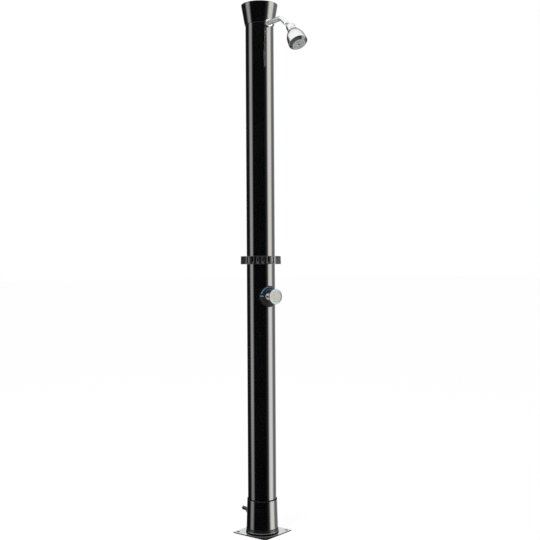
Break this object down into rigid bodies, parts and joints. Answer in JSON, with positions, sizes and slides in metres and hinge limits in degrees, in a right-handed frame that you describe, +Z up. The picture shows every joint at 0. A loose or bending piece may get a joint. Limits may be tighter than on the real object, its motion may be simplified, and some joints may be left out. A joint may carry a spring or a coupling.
{
  "type": "solar shower post",
  "caption": "Freestanding outdoor shower post: two-part round column on a square plate, ring nut joint, side mixer knob, bent arm and swivelling spray head.",
  "frame": {"origin": "centre of the base plate's underside, on the floor and on the column's axis", "axes": "+Z up along the column; the arm and the mixer face -Y, the hose connector +Y; +X to the right of someone who stands at the mixer and looks along +Y"},
  "size_m": [0.2068, 0.421, 2.15],
  "materials": {
    "polished_steel": "mirror polished",
    "cast_aluminium": "as cast",
    "screw_steel": "plain",
    "black_plastic_gloss": "gloss",
    "black_tube": "gloss",
    "black_ring_plastic": "satin",
    "chrome": "polished",
    "brass": "machined",
    "black_fittings": "semi-gloss",
    "satin_knob": "satin",
    "black_rubber": "matte",
    "white_plastic": "moulded",
    "tank_plastic": "moulded",
    "pipe_plastic": "extruded",
    "smoked_chrome": "dark plated",
    "face_grey": "satin, metallised"
  },
  "bodies": {
    "post": {"arm_elbow": "brass", "arm_gaskets": "black_rubber", "arm_nut": "chrome", "base_cover": "black_plastic_gloss", "base_plate": "polished_steel", "base_socket": "cast_aluminium", "cartridge_gland": "brass", "cold_pipe": "pipe_plastic", "connector_washer": "black_rubber", "feed_manifold": "tank_plastic", "hose_connector": "black_fittings", "hot_pipe_lower": "pipe_plastic", "hot_pipe_upper": "pipe_plastic", "inlet_bulkhead": "black_fittings", "inlet_gaskets": "black_rubber", "inlet_lock_nut": "black_fittings", "joint_seal": "black_rubber", "lower_collar": "black_ring_plastic", "lower_tank_floor": "tank_plastic", "lower_tank_lid": "tank_plastic", "lower_tube": "black_tube", "mixer_body": "brass", "mixer_cartridge": "white_plastic", "mixer_dome": "chrome", "mixer_lock_nut": "brass", "mixer_saddle": "tank_plastic", "nose_o_ring": "black_rubber", "plate_screws": "screw_steel", "riser_pipe_lower": "pipe_plastic", "riser_pipe_upper": "pipe_plastic", "rosette": "black_ring_plastic", "shower_arm": "chrome", "spigot_o_rings": "black_rubber", "swivel_ball": "chrome", "tank_feed_pipe": "pipe_plastic", "top_cap": "black_plastic_gloss", "tube_screws": "screw_steel", "upper_collar": "black_ring_plastic", "upper_tank_floor": "tank_plastic", "upper_tank_lid": "tank_plastic", "upper_tube": "black_tube"},
    "knob": {"mixer_knob": "satin_knob", "spline_adapter": "white_plastic", "mixer_spindle": "brass", "knob_grub_screw": "screw_steel"},
    "slip_ring": {"nut_slip_ring": "white_plastic"},
    "coupling_nut": {"coupling_nut": "black_ring_plastic"},
    "swivel_ring": {"swivel_ring": "white_plastic"},
    "ball_seat": {"ball_seat": "white_plastic", "flow_screen": "screw_steel"},
    "head": {"ball_nut": "chrome", "head_shell": "chrome", "head_funnel": "white_plastic", "jet_plate": "white_plastic", "face_ring": "smoked_chrome", "spray_face": "face_grey", "nozzle_mat": "black_rubber", "face_screw": "screw_steel"}
  },
  "joints": [
    {"name": "mixer_turn", "type": "hinge", "parent": "post", "child": "knob", "pos_m": [0, -0.1, 0.963], "axis": [0, 1, 0], "range_deg": [0, 180]},
    {"name": "coupling_nut_lift", "type": "slide", "parent": "post", "child": "slip_ring", "axis": [0, 0, 1], "range_m": [0, 0.016]},
    {"name": "coupling_nut_turn", "type": "hinge", "parent": "slip_ring", "child": "coupling_nut", "pos_m": [0, 0, 1.11], "axis": [0, 0, 1], "range_deg": [0, 1440]},
    {"name": "head_tilt", "type": "hinge", "parent": "post", "child": "swivel_ring", "pos_m": [0, -0.20951, 2.01255], "axis": [1, 0, 0], "range_deg": [-36, 5.5]},
    {"name": "head_swing", "type": "hinge", "parent": "swivel_ring", "child": "ball_seat", "pos_m": [0, -0.20951, 2.01255], "axis": [0, -0.8339, 0.5519], "range_deg": [-14, 14]},
    {"name": "head_spin", "type": "hinge", "parent": "ball_seat", "child": "head", "pos_m": [0, -0.20951, 2.01255], "axis": [0, -0.5519, -0.8339], "continuous": true}
  ],
  "couplings": [
    {"joint": "coupling_nut_lift", "follows": "coupling_nut_turn", "m_per_rad": 0.00063662}
  ]
}
